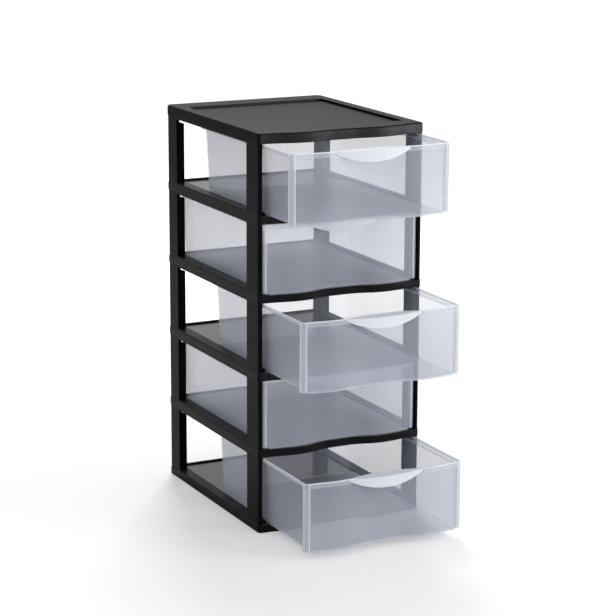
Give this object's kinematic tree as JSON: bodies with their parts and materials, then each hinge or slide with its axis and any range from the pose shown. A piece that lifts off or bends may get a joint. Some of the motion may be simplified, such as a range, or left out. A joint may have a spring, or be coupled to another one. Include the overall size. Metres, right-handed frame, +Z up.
{
  "type": "plastic drawer tower",
  "caption": "Tall stacked plastic frame with open side windows and a lidded top, holding open boxes that slide out on their own shelves by crescent handles.",
  "frame": {"origin": "middle of the base where the tower stands on the floor: halfway across its width and halfway along the depth of its frame", "axes": "+Z up, -Y out of the front where the drawers open, +X to the right seen from the front"},
  "size_m": [0.274, 0.493, 0.6055],
  "materials": {
    "frame_plastic": "black satin moulded polypropylene",
    "drawer_plastic": "frosted, slightly blue, translucent polypropylene"
  },
  "bodies": {
    "frame": {"top_cover": "frame_plastic", "shelf_tray_1": "frame_plastic", "shelf_tray_2": "frame_plastic", "shelf_tray_3": "frame_plastic", "shelf_tray_4": "frame_plastic", "base_tray": "frame_plastic", "side_panel_left_1": "frame_plastic", "side_panel_left_2": "frame_plastic", "side_panel_left_3": "frame_plastic", "side_panel_left_4": "frame_plastic", "side_panel_left_5": "frame_plastic", "side_panel_right_1": "frame_plastic", "side_panel_right_2": "frame_plastic", "side_panel_right_3": "frame_plastic", "side_panel_right_4": "frame_plastic", "side_panel_right_5": "frame_plastic"},
    "drawer_1_body": {"drawer_1": "drawer_plastic"},
    "drawer_2_body": {"drawer_2": "drawer_plastic"},
    "drawer_3_body": {"drawer_3": "drawer_plastic"},
    "drawer_4_body": {"drawer_4": "drawer_plastic"},
    "drawer_5_body": {"drawer_5": "drawer_plastic"}
  },
  "joints": [
    {"name": "drawer_1_slide", "type": "slide", "parent": "frame", "child": "drawer_1_body", "axis": [0, -1, 0], "range_m": [-0.095, 0.135]},
    {"name": "drawer_2_slide", "type": "slide", "parent": "frame", "child": "drawer_2_body", "axis": [0, -1, 0], "range_m": [0, 0.23]},
    {"name": "drawer_3_slide", "type": "slide", "parent": "frame", "child": "drawer_3_body", "axis": [0, -1, 0], "range_m": [-0.133, 0.097]},
    {"name": "drawer_4_slide", "type": "slide", "parent": "frame", "child": "drawer_4_body", "axis": [0, -1, 0], "range_m": [0, 0.23]},
    {"name": "drawer_5_slide", "type": "slide", "parent": "frame", "child": "drawer_5_body", "axis": [0, -1, 0], "range_m": [-0.145, 0.085]}
  ]
}
